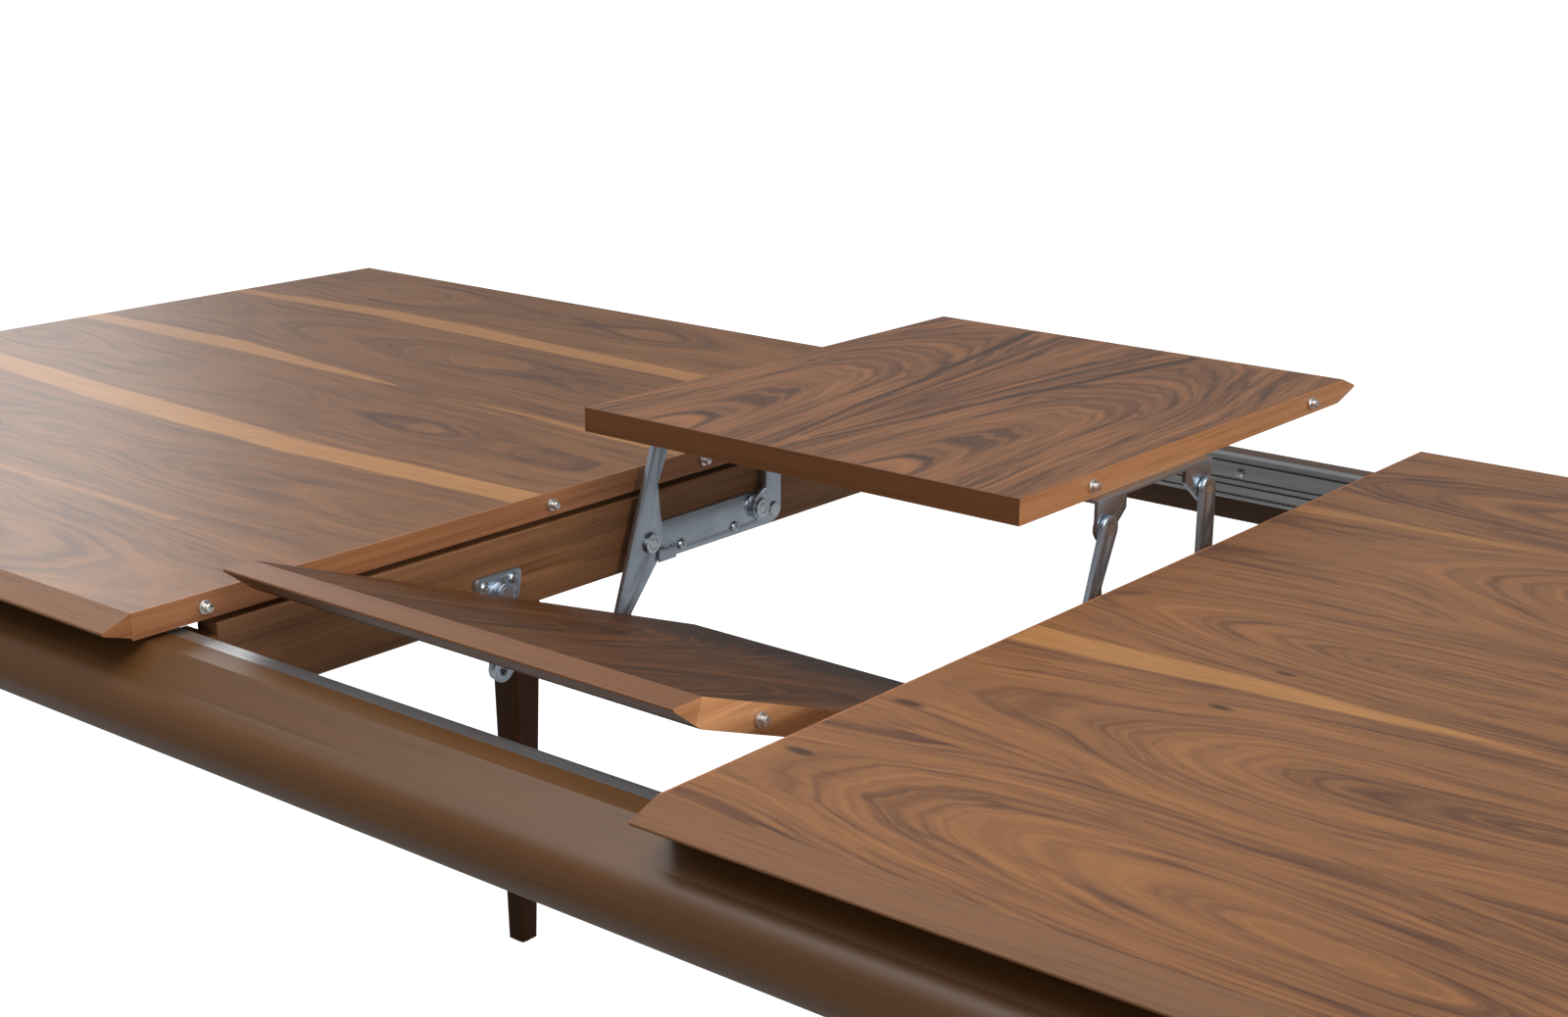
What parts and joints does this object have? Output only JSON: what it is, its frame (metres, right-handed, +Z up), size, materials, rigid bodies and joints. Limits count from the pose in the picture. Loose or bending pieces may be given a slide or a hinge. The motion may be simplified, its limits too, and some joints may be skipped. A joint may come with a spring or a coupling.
{
  "type": "extendable dining table",
  "caption": "Dining table whose knife-edged walnut tops slide apart on aluminium rails for a two-part leaf raised by steel arms.",
  "frame": {"origin": "on the floor, under the middle of the drawn-out table", "axes": "+X along the table's length, +Y across it towards the leaf half that is carried level, +Z up"},
  "size_m": [2.2318, 1.01, 0.828],
  "materials": {
    "walnut_veneer": "satin lacquered walnut veneer",
    "walnut_lipping": "satin lacquered solid walnut lipping",
    "lacquered_walnut": "satin lacquered walnut",
    "leg_walnut": "satin lacquered walnut",
    "frame_beech": "stained hardwood",
    "block_wood": "dark stained hardwood",
    "aluminium_profile": "mill-finished extrusion",
    "zinc_plated_steel": "bright zinc plate",
    "zinc_fasteners": "bright zinc plate",
    "pin_steel": "turned steel",
    "black_nylon": "moulded nylon"
  },
  "bodies": {
    "frame": {"base_bar_screws": "zinc_fasteners", "corner_blocks": "block_wood", "cross_rail_end_blocks": "block_wood", "front_apron": "lacquered_walnut", "front_left_leg": "leg_walnut", "front_right_leg": "leg_walnut", "front_slide_rail": "aluminium_profile", "left_base_bar": "zinc_plated_steel", "left_cross_rail": "frame_beech", "left_end_apron": "lacquered_walnut", "left_guide_plate": "zinc_plated_steel", "leg_bolts": "zinc_fasteners", "leg_glides": "black_nylon", "leg_spacers": "block_wood", "rail_screws": "zinc_fasteners", "rear_apron": "lacquered_walnut", "rear_left_leg": "leg_walnut", "rear_right_leg": "leg_walnut", "rear_slide_rail": "aluminium_profile", "right_base_bar": "zinc_plated_steel", "right_cross_rail": "frame_beech", "right_end_apron": "lacquered_walnut", "right_guide_plate": "zinc_plated_steel"},
    "left_top": {"left_top_battens": "frame_beech", "left_top_board": "walnut_veneer", "left_top_gap_band": "walnut_lipping", "left_top_glide_pads": "black_nylon", "left_top_lipping": "walnut_lipping", "left_top_pins": "pin_steel", "left_top_runners": "aluminium_profile"},
    "right_top": {"right_top_battens": "frame_beech", "right_top_board": "walnut_veneer", "right_top_gap_band": "walnut_lipping", "right_top_glide_pads": "black_nylon", "right_top_lipping": "walnut_lipping", "right_top_runners": "aluminium_profile", "right_top_sockets": "black_nylon"},
    "lift_arms": {"left_long_arm": "zinc_plated_steel", "right_long_arm": "zinc_plated_steel", "long_arm_rivets": "zinc_fasteners"},
    "rear_arms": {"left_rear_arm": "zinc_plated_steel", "right_rear_arm": "zinc_plated_steel", "rear_arm_rivets": "zinc_fasteners"},
    "guide_links": {"left_guide_link": "zinc_plated_steel", "right_guide_link": "zinc_plated_steel", "guide_link_rivets": "zinc_fasteners"},
    "rear_leaf": {"rear_leaf_board": "walnut_veneer", "rear_leaf_bracket_screws": "zinc_fasteners", "rear_leaf_brackets": "zinc_plated_steel", "rear_leaf_edge_band": "walnut_lipping", "rear_leaf_lipping": "walnut_lipping", "rear_leaf_pins": "pin_steel", "rear_leaf_sockets": "black_nylon"},
    "front_leaf": {"front_leaf_board": "walnut_veneer", "front_leaf_bracket_screws": "zinc_fasteners", "front_leaf_brackets": "zinc_plated_steel", "front_leaf_edge_band": "walnut_lipping", "front_leaf_lipping": "walnut_lipping", "front_leaf_pins": "pin_steel", "front_leaf_sockets": "black_nylon"}
  },
  "joints": [
    {"name": "left_top_slide", "type": "slide", "parent": "frame", "child": "left_top", "axis": [-1, 0, 0], "range_m": [0, 0.03]},
    {"name": "right_top_slide", "type": "slide", "parent": "frame", "child": "right_top", "axis": [1, 0, 0], "range_m": [-0.022, 0.008]},
    {"name": "leaf_lift", "type": "hinge", "parent": "frame", "child": "lift_arms", "pos_m": [-0.0108, 0.012, 0.698], "axis": [1, 0, 0], "range_deg": [-66.33, 20]},
    {"name": "rear_arm_swing", "type": "hinge", "parent": "frame", "child": "rear_arms", "pos_m": [-0.0108, 0.152, 0.698], "axis": [1, 0, 0], "range_deg": [-70, 22]},
    {"name": "rear_leaf_level", "type": "hinge", "parent": "lift_arms", "child": "rear_leaf", "pos_m": [-0.0108, 0.0284, 0.78649], "axis": [1, 0, 0], "range_deg": [-22, 70]},
    {"name": "front_leaf_tip", "type": "hinge", "parent": "lift_arms", "child": "front_leaf", "pos_m": [-0.0108, -0.04627, 0.60855], "axis": [1, 0, 0], "range_deg": [-28, 88]},
    {"name": "guide_link_swing", "type": "hinge", "parent": "frame", "child": "guide_links", "pos_m": [-0.0108, -0.151, 0.695], "axis": [1, 0, 0], "range_deg": [-92, 30]}
  ],
  "couplings": [
    {"joint": "rear_arm_swing", "follows": "leaf_lift", "ratio": 1},
    {"joint": "rear_leaf_level", "follows": "leaf_lift", "ratio": -1},
    {"joint": "front_leaf_tip", "follows": "leaf_lift", "ratio": -1.2997},
    {"joint": "guide_link_swing", "follows": "leaf_lift", "ratio": 1.3373}
  ]
}
